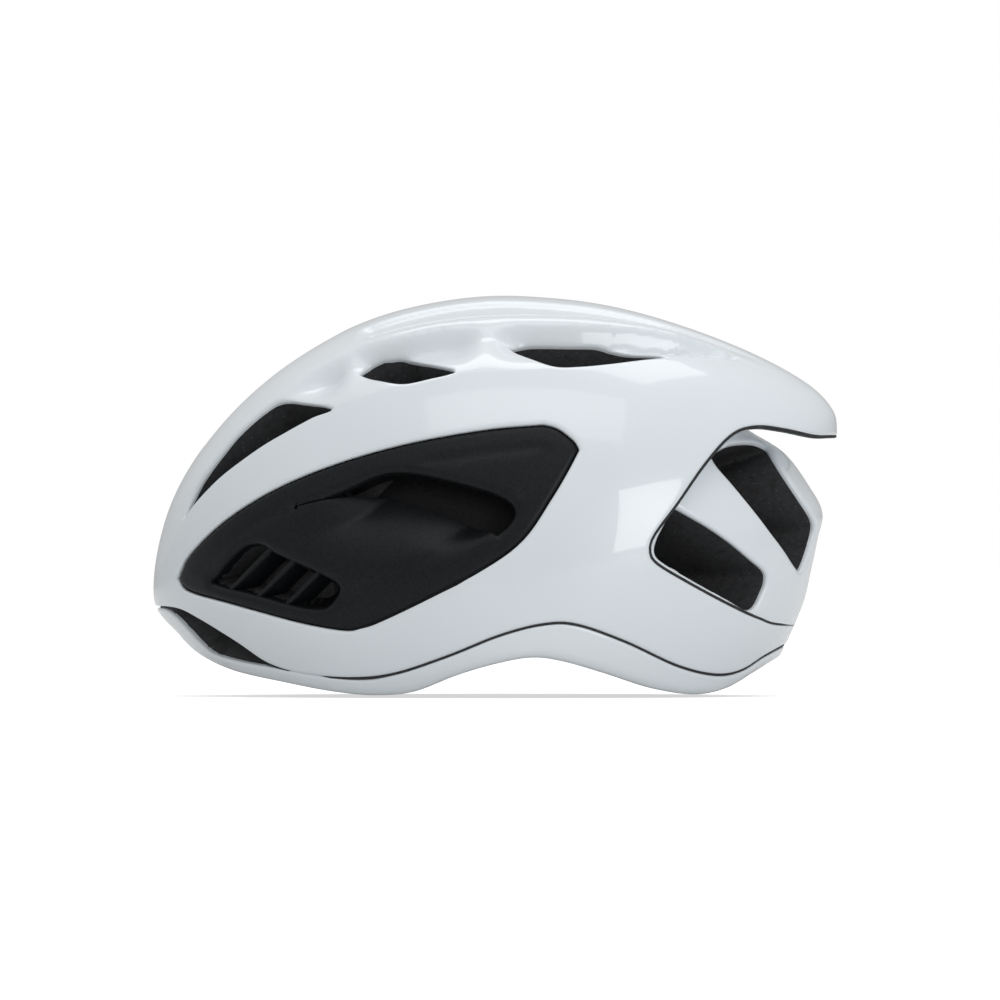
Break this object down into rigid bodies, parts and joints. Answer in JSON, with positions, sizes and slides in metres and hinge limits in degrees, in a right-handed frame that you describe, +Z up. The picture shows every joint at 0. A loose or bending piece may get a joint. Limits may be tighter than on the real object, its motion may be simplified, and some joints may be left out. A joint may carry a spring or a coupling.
{
  "type": "cycling helmet",
  "caption": "Vented road cycling helmet with a foam liner, outer shells, dark side panels, a dial-adjusted fit ring, pads and stowed straps.",
  "frame": {"origin": "on the floor, under the middle of the helmet's bounding box", "axes": "+X towards the back of the head, +Y towards the wearer's right, +Z up"},
  "size_m": [0.2871, 0.2078, 0.168],
  "materials": {
    "shell_white": "satin",
    "shell_grey": "satin",
    "panel_black": "satin",
    "foam_black": "matte",
    "pad_fabric": "matte",
    "webbing_black": "matte",
    "nylon_black": "satin",
    "grip_rubber": "matte",
    "screw_steel": "satin"
  },
  "bodies": {
    "shell": {"upper_shell": "shell_white", "lower_shell": "shell_grey", "rear_shell": "shell_white", "left_vent_panel": "panel_black", "right_vent_panel": "panel_black", "foam_liner": "foam_black", "brow_pad": "pad_fabric", "crown_pad_front": "pad_fabric", "crown_pad_rear": "pad_fabric", "left_side_pads": "pad_fabric", "right_side_pads": "pad_fabric", "temple_clips": "nylon_black", "strip_guide": "nylon_black", "right_front_strap": "webbing_black", "left_front_strap": "webbing_black", "right_rear_strap": "webbing_black", "left_rear_strap": "webbing_black", "right_chin_strap": "webbing_black", "left_chin_strap": "webbing_black", "right_divider": "nylon_black", "left_divider": "nylon_black", "buckle_socket": "nylon_black", "strap_anchors": "nylon_black"},
    "fit_ring": {"left_arm": "nylon_black", "right_arm": "nylon_black", "housing_inner": "nylon_black", "housing_outer": "nylon_black", "housing_screws": "screw_steel", "rear_cradle": "nylon_black", "occipital_pads": "pad_fabric", "height_strip": "nylon_black"},
    "dial": {"fit_dial": "nylon_black", "dial_grip": "grip_rubber", "dial_pinion": "nylon_black", "dial_screw": "screw_steel"},
    "left_strip": {"left_rack": "nylon_black"},
    "right_strip": {"right_rack": "nylon_black"},
    "plug": {"buckle_plug": "nylon_black"}
  },
  "joints": [
    {"name": "fit_ring_tilt", "type": "hinge", "parent": "shell", "child": "fit_ring", "pos_m": [-0.06, 0, 0.024], "axis": [0, 1, 0], "range_deg": [0, 8]},
    {"name": "dial_turn", "type": "hinge", "parent": "fit_ring", "child": "dial", "pos_m": [0.08, 0, 0.022], "axis": [1, 0, 0], "range_deg": [-100, 100]},
    {"name": "left_rack_slide", "type": "hinge", "parent": "fit_ring", "child": "left_strip", "pos_m": [0.008, 0, 0.022], "axis": [0, 0, 1], "range_deg": [-7.09, 7.09], "deforming": ["left_arm"]},
    {"name": "right_rack_slide", "type": "hinge", "parent": "fit_ring", "child": "right_strip", "pos_m": [0.008, 0, 0.022], "axis": [0, 0, 1], "range_deg": [-7.09, 7.09], "deforming": ["right_arm"]},
    {"name": "buckle_release", "type": "slide", "parent": "shell", "child": "plug", "axis": [0, 1, 0], "range_m": [0, 0.012], "deforming": ["right_chin_strap"]}
  ],
  "couplings": [
    {"joint": "left_rack_slide", "follows": "dial_turn", "ratio": -0.069444},
    {"joint": "right_rack_slide", "follows": "dial_turn", "ratio": 0.069444}
  ]
}
